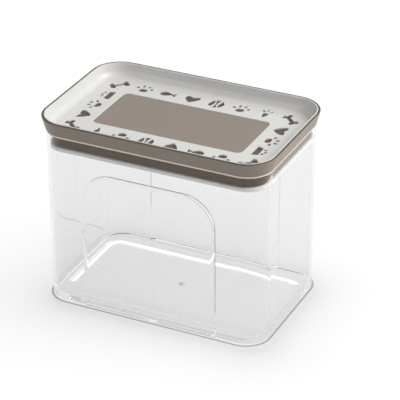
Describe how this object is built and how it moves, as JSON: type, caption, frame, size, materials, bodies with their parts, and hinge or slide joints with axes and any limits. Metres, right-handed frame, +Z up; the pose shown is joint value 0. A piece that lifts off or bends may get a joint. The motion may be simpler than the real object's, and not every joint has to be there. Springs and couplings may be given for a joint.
{
  "type": "pet treat container",
  "caption": "Clear rectangular storage box for pet treats, with a sealed two-colour lid that lifts straight off and has a shallow dish on top.",
  "frame": {"origin": "on the surface it stands on, under the middle of the box", "axes": "+Z up, +X along the long side, -Y towards the front panel"},
  "size_m": [0.1858, 0.1194, 0.1495],
  "materials": {
    "clear_box": "clear polished moulding",
    "lid_taupe": "satin moulding, taupe",
    "lid_white": "smooth white moulding",
    "seal": "translucent silicone"
  },
  "bodies": {
    "container": {"container": "clear_box"},
    "lid": {"lid_frame": "lid_taupe", "lid_tray": "lid_white", "seal_ring": "seal"}
  },
  "joints": [
    {"name": "lid_lift", "type": "slide", "parent": "container", "child": "lid", "axis": [0, 0, 1], "range_m": [0, 0.06]}
  ]
}
